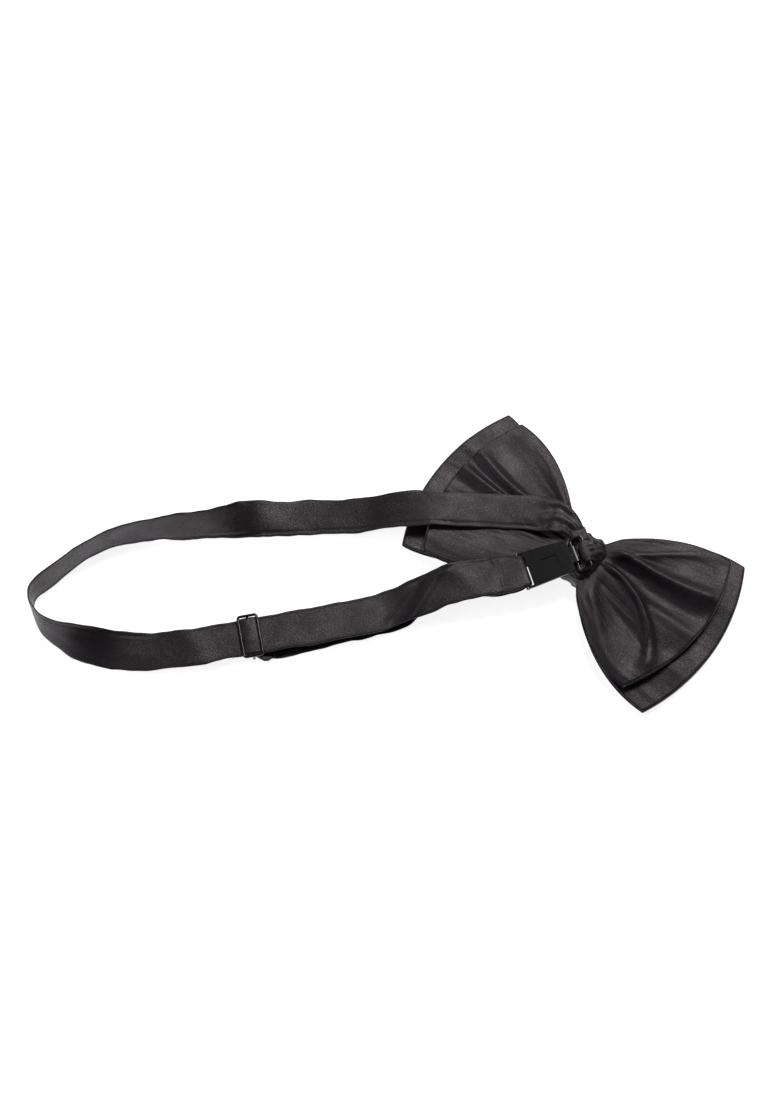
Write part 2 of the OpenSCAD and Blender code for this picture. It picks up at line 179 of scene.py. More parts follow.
# The neck band's route: place, height of its lower edge, roll in degrees and width.
# A roll of 180 lies flat on the far side, 90 stands on edge and 0 lies flat nearby.
FAR_ROUTE = [
    (-3.2, 7.6, KNOT_TOP - 1.2, 180, 6.5),
    (-4.6, 11.0, KNOT_TOP - 0.2, 180, 9),
    (-7.4, 14.6, KNOT_TOP + 0.3, 180, 11.5),
    (-12.5, 17.5, KNOT_TOP - 0.1, 180, 14.2),
    (-20, 19.2, 9.3, 180, 15),
    (-33, 20.5, OVER_WING + 0.1, 180, 15),
    (-49, 21.5, OVER_WING + 0.1, 180, 15),
    (-62, 22, OVER_WING, 180, 15),
    (-76, 22, 5.6, 180, 15),
    (-88, 21.5, 2.4, 180, 15),
    (-112, 21, 0.4, 180, 15),
    (-126, 20.4, 0.25, 168, 15),
    (-135, 18, 0.2, 138, 15),
    (-145, 15.8, 0.2, 115, 15),
    (-155, 14.6, 0.15, 109, 15),
    (-165, 13.4, 0.15, 105, 14.6),
    (-176, 11.8, 0.15, 98, 14.6),
]
TURN_ROUTE = [
    (-176, 11.8, 0.15, 98, 14.6),
    (-186, 8.6, 0.15, 92, 14.6),
    (-195, 3.4, 0.15, 90, 15),
    (-203.5, -3.6, 0.15, 92, 15),
    (-210, -9.6, 0.15, 94, 15),
    (-213.4, -13.6, 0.15, 91, 15),
    (-214, -17, 0.15, 90, 14.6),
    (-213, -21, 0.15, 88, 14.6),
    (-209, -27, 0.15, 80, 15),
    (-202, -31, 0.15, 64, 15),
    (-194, -33.5, 0.15, 42, 15),
]
LIFT_ROUTE = [(-64, -14.6, 6.45, 0, 15.6), (-51, -10.5, 9.1, 0, 16.2), (-37, -8, 9.9, 0, 16)]
RETURN_START = (-40, -8.0, 8.35, 180, 15.2)
RETURN_LIFT = [(-51, -9.5, 8.15, 180, 15), (-64, -13.8, 4.9, 180, 15)]
# Creases across the near run: place along it, slant, height and width
NEAR_CREASES = [(-62, 9, 0.9, 2.6), (-70, 10, -0.6, 3.4), (-47, -6, 0.35, 4), (-36, 5, 0.25, 2.2),
                (-33, -3, -0.2, 2.0), (-100, 8, 0.35, 6), (-117, 5, 0.4, 3.5), (-150, -6, 0.4, 5),
                (-166, 7, 0.35, 6)]
# Samples between two places of a route, and points across each face of the strap
STEPS = 10
FACE_POINTS = 22


# --- Settings that a user would change ---------------------------------------


class TieClothSettings(bpy.types.PropertyGroup):
    """Colours and sizes of the satin, its lining and the thread"""

    satin: bpy.props.FloatVectorProperty(
        name="Satin", description="Colour of the satin in shade", subtype="COLOR",
        default=(0.0072, 0.0056, 0.0086), min=0, max=1)
    # Painted highlight: the lighter base colour at the satin's speckled glints and floats, standing
    # in for light catching its long threads.
    satin_glint: bpy.props.FloatVectorProperty(
        name="Satin float",
        description="Colour of the satin where its long threads catch the light",
        subtype="COLOR", default=(0.0165, 0.0135, 0.0140), min=0, max=1)
    lining: bpy.props.FloatVectorProperty(
        name="Interfacing", description="Colour of the stiffening inside", subtype="COLOR",
        default=(0.03, 0.03, 0.034), min=0, max=1)
    thread: bpy.props.FloatVectorProperty(
        name="Thread", description="Colour of the sewing thread", subtype="COLOR",
        default=(0.012, 0.011, 0.014), min=0, max=1)
    ply: bpy.props.FloatProperty(
        name="Ply", description="Thickness of one ply of satin", default=0.00035, min=0.0001,
        max=0.0008, unit="LENGTH")
    weave: bpy.props.FloatProperty(
        name="Weave", description="Spacing of the satin's long threads", default=0.00042,
        min=0.0002, max=0.002, unit="LENGTH")
    pleat: bpy.props.FloatProperty(
        name="Pleats", description="Height of the pleats, as a share of the design's", default=1.0,
        min=0, max=1.5, subtype="FACTOR")
    wrinkle: bpy.props.FloatProperty(
        name="Wrinkles", description="Height of the fine wrinkles in the cloth", default=0.0003,
        min=0, max=0.001, unit="LENGTH")


class TieMetalSettings(bpy.types.PropertyGroup):
    """Colours of the enamelled wire and sheet"""

    enamel: bpy.props.FloatVectorProperty(
        name="Enamel", description="Colour of the black enamel", subtype="COLOR",
        default=(0.006, 0.005, 0.008), min=0, max=1)
    # Wear and painted highlight: the steel colour shows on the edges both as worn-through enamel
    # and as a painted highlight line.
    steel: bpy.props.FloatVectorProperty(
        name="Steel", description="Colour of the steel where the enamel has worn through",
        subtype="COLOR", default=(0.42, 0.41, 0.43), min=0, max=1)
    wear_and_highlight: bpy.props.FloatProperty(
        name="Wear", description="How much of the enamel has worn off the edges", default=0.25,
        min=0, max=1, subtype="FACTOR")


class TieStageSettings(bpy.types.PropertyGroup):
    """Camera and light"""

    elevation: bpy.props.FloatProperty(
        name="Elevation", description="Height of the camera above the table, as an angle",
        default=math.radians(66), min=0, max=math.pi / 2, subtype="ANGLE", unit="ROTATION")
    distance: bpy.props.FloatProperty(
        name="Distance", description="Distance of the camera from the tie", default=0.792,
        min=0.2, max=3, unit="LENGTH")
    lens: bpy.props.FloatProperty(
        name="Lens", description="Focal length of the camera, in millimetres", default=66.5,
        min=20, max=200)
    key: bpy.props.FloatProperty(
        name="Softbox", description="Power of the large softbox", default=8.0, min=0, max=100,
        unit="POWER")
    sky: bpy.props.FloatProperty(
        name="Room", description="Strength of the light from all round", default=0.06, min=0,
        max=5)


# --- Small helpers -------------------------------------------------------------


def ease(x):
    x = min(1.0, max(0.0, x))
    return x * x * (3 - 2 * x)


def mix(a, b, t):
    return a + (b - a) * t


def curve_of_three(values, k):
    """A smooth value through three, at the knot, halfway and at the outer edge."""
    a, b, c = values
    return a * (1 - k) * (1 - 2 * k) + 4 * b * k * (1 - k) + c * k * (2 * k - 1)


def bell(x, width):
    return math.exp(-((x / width) ** 2))


def rough(*place):
    """Smooth noise from -1 to 1 at up to three coordinates."""
    return noise.noise(Vector((list(place) + [0, 0])[:3]))


def ridged(*place):
    """Noise with sharp crests, as creased cloth has."""
    return 1 - 2 * abs(rough(*place)) ** 0.7


def from_bow(u, v, z):
    return Vector((u * math.cos(BOW_TURN) - v * math.sin(BOW_TURN),
                   u * math.sin(BOW_TURN) + v * math.cos(BOW_TURN), z))


def from_slider(x, y, z):
    centre = (SLIDER_LOW + SLIDER_HIGH) / 2
    return Vector((centre.x, centre.y, 0)) + SLIDE_X * x + SLIDE_Y * y + Vector((0, 0, z))


def add_mesh(name, points, faces, cloth=None):
    """An object with that mesh, in millimetres. cloth is each point's place in the flat cloth."""
    mesh = bpy.data.meshes.new(name)
    mesh.from_pydata([Vector(p) * MM for p in points], [], faces)
    if cloth:
        layer = mesh.attributes.new("cloth", "FLOAT_VECTOR", "POINT")
        layer.data.foreach_set("vector", [c * MM for place in cloth for c in (*place, 0)])
    mesh.polygons.foreach_set("use_smooth", [True] * len(mesh.polygons))
    mesh.update()
    obj = bpy.data.objects.new(name, mesh)
    bpy.context.scene.collection.objects.link(obj)
    return obj


def grid(rows, wrap_rows=False, wrap_points=False):
    """Faces between neighbouring rows of points."""
    count = len(rows[0])
    faces = []
    for i in range(len(rows) if wrap_rows else len(rows) - 1):
        a, b = i * count, (i + 1) % len(rows) * count
        for j in range(count if wrap_points else count - 1):
            k = (j + 1) % count
            faces.append((a + j, b + j, b + k, a + k))
    return faces


def sheet_of(name, rows, cloth, ply, wrap_rows=False, wrap_points=False, offset=-1):
    """A sheet of cloth through rows of points, given its thickness."""
    obj = add_mesh(name, [p for row in rows for p in row], grid(rows, wrap_rows, wrap_points),
                   [c for row in cloth for c in row])
    thick = obj.modifiers.new("Ply", "SOLIDIFY")
    thick.thickness = ply
    thick.offset = offset
    thick.use_even_offset = False
    return obj


def woven(places, across, at):
    """Rows of points and where each lies in the flat cloth, one row for each place.

    at(n, place, a) gives both for the place's number, the place, and a from -1 to 1 across.
    """
    rows, flat = [], []
    for n, place in enumerate(places):
        row = [at(n, place, 2 * j / (across - 1) - 1) for j in range(across)]
        rows.append([point for point, _ in row])
        flat.append([laid for _, laid in row])
    return rows, flat


def tube_normals(rows):
    """Smooth normals for each point of a tube, so that its pieces shade as one."""
    normals = []
    for i, row in enumerate(rows):
        before, after = rows[max(i - 1, 0)], rows[min(i + 1, len(rows) - 1)]
        for j in range(len(row)):
            round_it = row[(j + 1) % len(row)] - row[j - 1]
            normals.append((after[j] - before[j]).cross(round_it).normalized())
    return normals


def tube_of(name, rows, cloth, normals):
    """A closed tube through rows of points, with a cap on each end."""
    count = len(rows[0])
    faces = grid(rows, wrap_points=True)
    faces.append(tuple(range(count)))
    faces.append(tuple((len(rows) - 1) * count + j for j in reversed(range(count))))
    obj = add_mesh(name, [p for row in rows for p in row], faces,
                   [c for row in cloth for c in row])
    obj.data.normals_split_custom_set_from_vertices(normals)
    return obj


def threads(name, paths, radius=THREAD_R, sides=8):
    """Thread along each path, as one piece."""
    points, faces = [], []
    for path in paths:
        base = len(points)
        for i, p in enumerate(path):
            way = (path[min(i + 1, len(path) - 1)] - path[max(i - 1, 0)]).normalized()
            side = way.orthogonal().normalized()
            other = way.cross(side)
            taper = 0.6 if i in (0, len(path) - 1) else 1
            for j in range(sides):
                turn = 2 * math.pi * j / sides
                points.append(p + (side * math.cos(turn) + other * math.sin(turn)) * radius * taper)
        for i in range(len(path) - 1):
            for j in range(sides):
                a, b = base + i * sides + j, base + i * sides + (j + 1) % sides
                faces.append((a, b, b + sides, a + sides))
        faces.append(tuple(base + j for j in reversed(range(sides))))
        faces.append(tuple(base + (len(path) - 1) * sides + j for j in range(sides)))
    return add_mesh(name, points, faces)


def stitch_path(place, way, up, length, rise=0.28, sink=0.35):
    """One hand stitch: out of the cloth, along it and in again."""
    path = []
    for i in range(9):
        t = i / 8
        path.append(place + way * (t - 0.5) * length
                    + up * (-sink + (rise + sink) * math.sin(math.pi * t) ** 0.6))
    return path


# --- Materials -------------------------------------------------------------------


def new_group(name, inputs, outputs):
    """An empty shader node group with those sockets, given as (name, kind, default)."""
    group = bpy.data.node_groups.new(name, "ShaderNodeTree")
    for label, kind, default in inputs:
        socket = group.interface.new_socket(label, in_out="INPUT", socket_type=kind)
        socket.default_value = default
    for label, kind in outputs:
        group.interface.new_socket(label, in_out="OUTPUT", socket_type=kind)
    return group


def node(tree, kind, **values):
    """A node with its settings and unlinked inputs filled in."""
    made = tree.nodes.new(kind)
    for key, value in values.items():
        if key.startswith("in_"):
            made.inputs[int(key[3:])].default_value = value
        else:
            setattr(made, key, value)
    return made


def math_node(tree, operation, a, b=0.0, clamp=False):
    made = node(tree, "ShaderNodeMath", operation=operation, use_clamp=clamp)
    for i, value in enumerate((a, b)):
        if isinstance(value, bpy.types.NodeSocket):
            tree.links.new(value, made.inputs[i])
        else:
            made.inputs[i].default_value = value
    return made.outputs[0]


def ramp(tree, value, low, high):
    """A smooth mask from 0 at low to 1 at high."""
    made = node(tree, "ShaderNodeMapRange", interpolation_type="SMOOTHSTEP", in_1=low, in_2=high)
    tree.links.new(value, made.inputs[0])
    return made.outputs[0]


def two_tone(tree, mask, low, high, target):
    """Puts into a socket the colour that a mask picks between low and high."""
    tint = node(tree, "ShaderNodeMix", data_type="RGBA")
    tree.links.new(mask, tint.inputs["Factor"])
    for label, colour in (("A", low), ("B", high)):
        if isinstance(colour, bpy.types.NodeSocket):
            tree.links.new(colour, tint.inputs[label])
        else:
            tint.inputs[label].default_value = (*colour, 1)
    tree.links.new(tint.outputs["Result"], target)


def satin_weave_and_glints_group():
    """Long floating threads with tiny dips between them, and a little unevenness, with the colour
    painted lighter at speckled glints and along the floats as a painted highlight.
    """
    tree = new_group("Satin weave and glints",
                     [("Weave", "NodeSocketFloat", 0.0004),
                      ("Shade", "NodeSocketColor", (0, 0, 0, 1)),
                      ("Float", "NodeSocketColor", (0, 0, 0, 1)),
                      ("Creases", "NodeSocketFloat", 1.0)],
                     [("Color", "NodeSocketColor"), ("Roughness", "NodeSocketFloat"),
                      ("Height", "NodeSocketFloat")])
    given = tree.nodes.new("NodeGroupInput")
    put = tree.nodes.new("NodeGroupOutput")
    link = tree.links.new
    place = node(tree, "ShaderNodeAttribute", attribute_name="cloth").outputs["Vector"]
    inverse = math_node(tree, "DIVIDE", 1.0, given.outputs["Weave"])
    scaled = node(tree, "ShaderNodeVectorMath", operation="SCALE")
    link(place, scaled.inputs[0])
    link(inverse, scaled.inputs["Scale"])
    warp = node(tree, "ShaderNodeTexWave", wave_type="BANDS", bands_direction="DIAGONAL",
                in_1=0.9, in_2=1.6, in_3=1.0)
    link(scaled.outputs[0], warp.inputs["Vector"])
    weft = node(tree, "ShaderNodeTexWave", wave_type="BANDS", bands_direction="X",
                in_1=0.5, in_2=0.8)
    link(scaled.outputs[0], weft.inputs["Vector"])
    speckle = node(tree, "ShaderNodeTexNoise", in_2=0.55, in_3=3.0, in_4=0.7)
    link(scaled.outputs[0], speckle.inputs["Vector"])
    cloud = node(tree, "ShaderNodeTexNoise", in_2=0.035, in_3=4.0, in_4=0.55)
    link(scaled.outputs[0], cloud.inputs["Vector"])
    crease = node(tree, "ShaderNodeTexNoise", noise_type="RIDGED_MULTIFRACTAL",
                  in_2=0.085, in_3=3.0)
    link(scaled.outputs[0], crease.inputs["Vector"])
    # Painted highlight: sparkle and the warp floats lighten the base colour from the shade colour
    # to the glint colour, standing in for light catching the long threads.
    sparkle = ramp(tree, speckle.outputs[0], 0.42, 0.66)
    float_glints = math_node(tree, "MULTIPLY", warp.outputs["Fac"], 0.35)
    lit = math_node(tree, "ADD", math_node(tree, "MULTIPLY", sparkle, 0.65), float_glints, clamp=True)
    two_tone(tree, lit, given.outputs["Shade"], given.outputs["Float"], put.inputs["Color"])
    uneven = math_node(tree, "MULTIPLY", ramp(tree, cloud.outputs[0], 0.3, 0.7), 0.14)
    base = math_node(tree, "SUBTRACT", 0.43, math_node(tree, "MULTIPLY", sparkle, 0.16))
    link(math_node(tree, "ADD", base, uneven), put.inputs["Roughness"])
    fine = math_node(tree, "MULTIPLY", math_node(tree, "ADD", warp.outputs["Fac"],
                                                 weft.outputs["Fac"]), 0.05)
    grain = math_node(tree, "MULTIPLY", speckle.outputs[0], 0.6)
    folds = math_node(tree, "MULTIPLY", crease.outputs[0], given.outputs["Creases"])
    link(math_node(tree, "ADD", math_node(tree, "ADD", fine, grain), folds), put.inputs["Height"])
    return tree


def edge_wear_and_highlight_group():
    """Where enamel rubs through: raised edges, broken up by noise. The mask also stands for a
    painted highlight: its edge thresholds are set low so that bright steel draws a highlight line
    along the edges.
    """
    tree = new_group("Edge wear and highlight",
                     [("Amount", "NodeSocketFloat", 0.5), ("Scale", "NodeSocketFloat", 900.0)],
                     [("Mask", "NodeSocketFloat"), ("Height", "NodeSocketFloat")])
    given = tree.nodes.new("NodeGroupInput")
    put = tree.nodes.new("NodeGroupOutput")
    link = tree.links.new
    shape = tree.nodes.new("ShaderNodeNewGeometry")
    where = tree.nodes.new("ShaderNodeTexCoord")
    patch = node(tree, "ShaderNodeTexNoise", in_3=4.0, in_4=0.65)
    link(where.outputs["Object"], patch.inputs["Vector"])
    link(given.outputs["Scale"], patch.inputs["Scale"])
    # Wear and painted highlight: pointiness from 0.54 to 0.66 marks the edges both where enamel
    # rubs through and where a bright highlight line is painted.
    edge = ramp(tree, shape.outputs["Pointiness"], 0.54, 0.66)
    broken = math_node(tree, "MULTIPLY", edge, ramp(tree, patch.outputs[0], 0.48, 0.62))
    mask = math_node(tree, "MULTIPLY", broken, given.outputs["Amount"], clamp=True)
    link(mask, put.inputs["Mask"])
    link(patch.outputs[0], put.inputs["Height"])
    return tree


def use_group(tree, group, **values):
    made = node(tree, "ShaderNodeGroup", node_tree=group)
    for label, value in values.items():
        made.inputs[label].default_value = value
    return made


def start_material(name):
    material = bpy.data.materials.new(name)
    material.use_nodes = True
    return material, material.node_tree, material.node_tree.nodes["Principled BSDF"]


def bump(tree, height, distance, strength, shader):
    made = node(tree, "ShaderNodeBump")
    made.inputs["Strength"].default_value = strength
    made.inputs["Distance"].default_value = distance
    tree.links.new(height, made.inputs["Height"])
    tree.links.new(made.outputs[0], shader.inputs["Normal"])


def satin_material(name, cloth, creases):
    material, tree, shader = start_material(name)
    # The glint colour is a painted highlight over the shade colour.
    weave = use_group(tree, bpy.data.node_groups["Satin weave and glints"], Weave=cloth.weave, Creases=creases,
                      Shade=(*cloth.satin, 1), Float=(*cloth.satin_glint, 1))
    tree.links.new(weave.outputs["Color"], shader.inputs["Base Color"])
    tree.links.new(weave.outputs["Roughness"], shader.inputs["Roughness"])
    shader.inputs["Specular IOR Level"].default_value = 0.5
    shader.inputs["Specular Tint"].default_value = (1.0, 0.93, 0.98, 1)
    shader.inputs["Sheen Weight"].default_value = 0.12
    shader.inputs["Sheen Roughness"].default_value = 0.4
    shader.inputs["Sheen Tint"].default_value = (0.75, 0.7, 0.9, 1)
    bump(tree, weave.outputs["Height"], 0.00035, 0.55, shader)
    return material


def interfacing_material(cloth):
    material, tree, shader = start_material("Interfacing")
    where = tree.nodes.new("ShaderNodeTexCoord")
    fibres = node(tree, "ShaderNodeTexNoise", in_2=1400.0, in_3=5.0, in_4=0.7)
    tree.links.new(where.outputs["Object"], fibres.inputs["Vector"])
    two_tone(tree, fibres.outputs[0], [c * 0.6 for c in cloth.lining], cloth.lining,
             shader.inputs["Base Color"])
    shader.inputs["Roughness"].default_value = 0.9
    bump(tree, fibres.outputs[0], 0.0002, 0.6, shader)
    return material


def thread_material(cloth):
    material, tree, shader = start_material("Sewing thread")
    where = tree.nodes.new("ShaderNodeTexCoord")
    twist = node(tree, "ShaderNodeTexWave", wave_type="BANDS", bands_direction="DIAGONAL",
                 in_1=2600.0, in_2=2.0)
    tree.links.new(where.outputs["Object"], twist.inputs["Vector"])
    two_tone(tree, twist.outputs["Fac"], [c * 0.5 for c in cloth.thread],
             [c * 1.6 for c in cloth.thread], shader.inputs["Base Color"])
    shader.inputs["Roughness"].default_value = 0.5
    bump(tree, twist.outputs["Fac"], 0.00008, 0.8, shader)
    return material


def enamel_material(metal):
    material, tree, shader = start_material("Black enamel")
    link = tree.links.new
    wear_and_highlight = use_group(tree, bpy.data.node_groups["Edge wear and highlight"], Amount=metal.wear_and_highlight)
    # Edges turn to steel, partly as wear and partly as a painted highlight.
    two_tone(tree, wear_and_highlight.outputs["Mask"], metal.enamel, metal.steel,
             shader.inputs["Base Color"])
    link(wear_and_highlight.outputs["Mask"], shader.inputs["Metallic"])
    link(math_node(tree, "ADD", math_node(tree, "MULTIPLY", wear_and_highlight.outputs["Height"], 0.1), 0.2),
         shader.inputs["Roughness"])
    shader.inputs["Specular IOR Level"].default_value = 0.5
    shader.inputs["Coat Weight"].default_value = 0.3
    shader.inputs["Coat Roughness"].default_value = 0.15
    bump(tree, wear_and_highlight.outputs["Height"], 0.00003, 0.4, shader)
    return material


def get_material(name):
    """The named finish, made on first use."""
    scene = bpy.context.scene
    makers = {
        "Bow satin": lambda: satin_material("Bow satin", scene.tie_cloth, 0.35),
        "Band satin": lambda: satin_material("Band satin", scene.tie_cloth, 0.55),
        "Knot satin": lambda: satin_material("Knot satin", scene.tie_cloth, 0.8),
        "Interfacing": lambda: interfacing_material(scene.tie_cloth),
        "Sewing thread": lambda: thread_material(scene.tie_cloth),
        "Black enamel": lambda: enamel_material(scene.tie_metal),
    }
    if "Satin weave and glints" not in bpy.data.node_groups:
        satin_weave_and_glints_group()
        edge_wear_and_highlight_group()
    return bpy.data.materials.get(name) or makers[name]()


def finish_piece(obj, finish, slot, *nodes):
    """Gives a piece its finish, and hides the nodes of the frame that it stands for."""
    obj.data.materials.clear()
    obj.data.materials.append(get_material(finish))
    if nodes:
        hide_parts(*nodes)
    return obj


def sew(name, paths, node_name, body):
    """Thread along each path, as the piece that stands for that node and rides that body."""
    seam = finish_piece(threads(name, paths), "Sewing thread", "thread", node_name)
    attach(seam, body)


# --- The bow -----------------------------------------------------------------------


def wing_place(wing, k, t):
    """Where a point of a wing lies: k runs from the knot to the outer edge, t from edge to edge."""
    side, reach, half, root, level_off, skew = wing
    arc = (half * half + OUTER_RISE * OUTER_RISE) / 2 / OUTER_RISE
    outer = reach - arc + math.sqrt(arc * arc - (t * half) ** 2) + skew * t
    start = WING_START[side]
    at_start = (start - root) / (reach - OUTER_RISE - root)
    along = at_start + (1 - at_start) * k
    height = half - (half - ROOT_HALF) * (1 - along) ** level_off
    return side * mix(start, outer, k), t * height


def pleat_height(layer, side, k, t):
    total = 0.0
    for where, height, width in PLEATS[layer, side]:
        off = t - curve_of_three(where, k)
        spread = max(0.04, curve_of_three(width, k))
        total += curve_of_three(height, k) * (1 + (off / spread) ** 2) ** -1.5
    return total


def layer_low(lay, lift):
    return mix(lay * LAYER_STEP + 0.35, WAIST_LOW + lay * (WAIST_T + 0.1), lift)


def layer_top(lay, lift):
    return mix(lay * LAYER_STEP + LAYER_T, WAIST_LOW + lay * (WAIST_T + 0.1) + WAIST_T, lift)


def strap_ceiling(x, y):
    """How high the bow may stand at a place without touching what lies over it."""
    ceiling = 99.0
    for place in STRAPS_OVER_BOW:
        off = math.hypot(place[0] - x, place[1] - y) - place[4] / 2
        ceiling = min(ceiling, place[2] - 0.45 + 0.8 * max(0.0, off))
    return ceiling


def layer_surface(layer, wing, k, t, back, cloth):
    """A point on the back or front ply of a layer of the bow."""
    lay = LAYER_NUMBER[layer]
    u, v = wing_place(wing, k, t)
    lift = min(1.0, max(0.0, (FLAT_U - abs(u)) / (FLAT_U - RISE_U)))
    low, top = layer_low(lay, lift), layer_top(lay, lift)
    grow = ease(k / 0.12) * 0.75 + 0.25
    pleats = pleat_height(layer, wing[0], k, t) * cloth.pleat * grow
    fine = (cloth.wrinkle / MM) * (
        rough(t * 13, k * 2.6, lay + wing[0]) + 0.5 * rough(t * 31, k * 6, 5 + lay))
    fine *= ease(k / 0.1) * (0.35 + 0.65 * (1 - k))
    crown = 0.6 * math.sin(math.pi * k ** 0.8) * (1 - t * t)
    if back:
        z = top + pleats + fine + crown * 0.8
        z = max(z, low + 0.9)
    else:
        z = low + max(0.0, -0.35 * pleats) + 0.5 * abs(fine)
    middle = (low + top) / 2 - 0.5 * lay + (FOLD_FLAT if back else -FOLD_FLAT)
    z += (middle - (top if back else low)) * ease(k)
    edge = ease((k - 0.9) / 0.1)
    z -= edge * pleats * 0.3 if back else 0.0
    place = from_bow(u, v, max(z, 0.25))
    if back and wing[0] < 0:
        place.z = min(place.z, strap_ceiling(place.x, place.y))
    return place


def build_layer(layer, cloth):
    """One layer of the bow: a ribbon folded at both outer edges and pinched at the waist."""
    left, right = WINGS[layer]
    tiers = [i / (ROWS_PER_PLY - 1) for i in range(ROWS_PER_PLY)]
    across = [2 * j / (POINTS_ACROSS - 1) - 1 for j in range(POINTS_ACROSS)]

    def ply(wing, back, outward):
        return [[layer_surface(layer, wing, k, t, back, cloth) for t in across]
                for k in (tiers if outward else tiers[::-1])]

    def fold(inner, outer, wing):
        """Rows that round the fold between two plies at the outer edge."""
        rows = []
        for i in range(1, 6):
            turn = math.pi * i / 6
            row = []
            for a, b in zip(inner, outer):
                out = from_bow(wing[0] * math.sin(turn) * 0.55, 0, 0)
                row.append(a.lerp(b, (1 - math.cos(turn)) / 2) + out)
            rows.append(row)
        return rows

    def waist(back):
        """Rows through the knot, where the cloth is bunched as narrow as it goes."""
        lay = LAYER_NUMBER[layer]
        z = layer_top(lay, 1) if back else layer_low(lay, 1)
        wave = 0.35 if back else -0.1
        return [[from_bow(u, t * half, z + wave * rough(t * 6, u, lay)) for t in across]
                for u, half in (WAIST_ROWS[::-1] if back else WAIST_ROWS)]

    front = ply(left, False, False) + waist(False) + ply(right, False, True)
    back = ply(right, True, False) + waist(True) + ply(left, True, True)
    rows = (front + fold(front[-1], back[0], right) + back + fold(back[-1], front[0], left))
    half = left[2]
    cloth_rows = [[(p.x * math.cos(BOW_TURN) + p.y * math.sin(BOW_TURN), t * half)
                   for p, t in zip(row, across)] for row in rows]
    obj = sheet_of(f"bow_{layer}_layer", rows, cloth_rows, cloth.ply, wrap_rows=True, offset=-1)
    return finish_piece(obj, "Bow satin", "bow_satin", f"{layer}_bow")


def build_interfacing(layer, cloth):
    """The stiffening between the two plies of each wing, as one piece for the layer."""
    points, faces = [], []
    for wing in WINGS[layer]:
        rows = []
        for i in range(30):
            k = mix(0.12, 0.955, i / 29)
            rows.append([])
            for j in range(41):
                t = mix(-0.985, 0.985, j / 40)
                front = layer_surface(layer, wing, k, t, False, cloth)
                back = layer_surface(layer, wing, k, t, True, cloth)
                rows[-1].append(front.lerp(back, 0.5))
        base = len(points)
        points += [p for row in rows for p in row]
        faces += [tuple(base + i for i in face) for face in grid(rows)]
    obj = add_mesh(f"bow_{layer}_interfacing", points, faces)
    thick = obj.modifiers.new("Felt", "SOLIDIFY")
    thick.thickness = FELT_T * MM
    thick.offset = 0
    return finish_piece(obj, "Interfacing", "interfacing", f"{layer}_bow_interfacing")


class TIE_OT_bow(bpy.types.Operator):
    """Build the two pleated layers of the bow and their interfacing"""

    bl_idname = "tie.bow"
    bl_label = "Bow"

    def execute(self, context):
        cloth = context.scene.tie_cloth
        for layer, flat in (("large", (0.073, 0.276)), ("small", (0.067, 0.244))):
            ribbon = build_layer(layer, cloth)
            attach(ribbon, "bow")
            lining = build_interfacing(layer, cloth)
            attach(lining, "bow")
        return {"FINISHED"}


# --- The knot ------------------------------------------------------------------------


def knot_outline(p):
    """The knot's cross-section at p, a share of the way round from the middle of its back."""
    half_w, half_h = KNOT_HALF_W, KNOT_TOP / 2
    turn = 2 * math.pi * p
    power = 2.0 / 3.6
    v = half_w * math.copysign(abs(math.sin(turn)) ** power, math.sin(turn))
    z = half_h * math.copysign(abs(math.cos(turn)) ** power, math.cos(turn))
    return v, half_h + z


def knot_point(share, p):
    """A point of the wrap: share runs along the knot, p round it."""
    u = mix(KNOT_START, KNOT_END, share)
    v, z = knot_outline(p)
    around = p * 2 * math.pi
    end = abs(2 * share - 1)
    pull = 1.04 - 0.26 * end ** 3
    folds = 0.42 * math.cos(5.2 * math.pi * share + 0.9 * math.sin(around) + 0.8 * rough(p * 5, 3))
    creases = 0.5 * ridged(share * 2.4, math.sin(around) * 2.1, math.cos(around) * 2.1)
    creases += 0.22 * ridged(share * 6 + 3, math.sin(around) * 5, math.cos(around) * 5)
    bottom = ease((z - 0.5) / 2.5)
    swell = folds + creases + 0.9 * ease((share - 0.2) / 0.4)
    swell = swell * (0.15 + 0.85 * bottom) * (1 - end ** 5)
    out = Vector((0, v / KNOT_HALF_W, (z - KNOT_TOP / 2) / (KNOT_TOP / 2)))
    out.normalize()
    v = v * pull + out.y * swell
    z = (z - KNOT_TOP / 2) * mix(1, pull, 0.75 * bottom) + KNOT_TOP / 2 + out.z * swell
    u += 0.35 * rough(p * 6, share * 2, 8) + 0.25 * math.sin(3 * around) * (2 * share - 1)
    return from_bow(u, v, max(0.0, z))


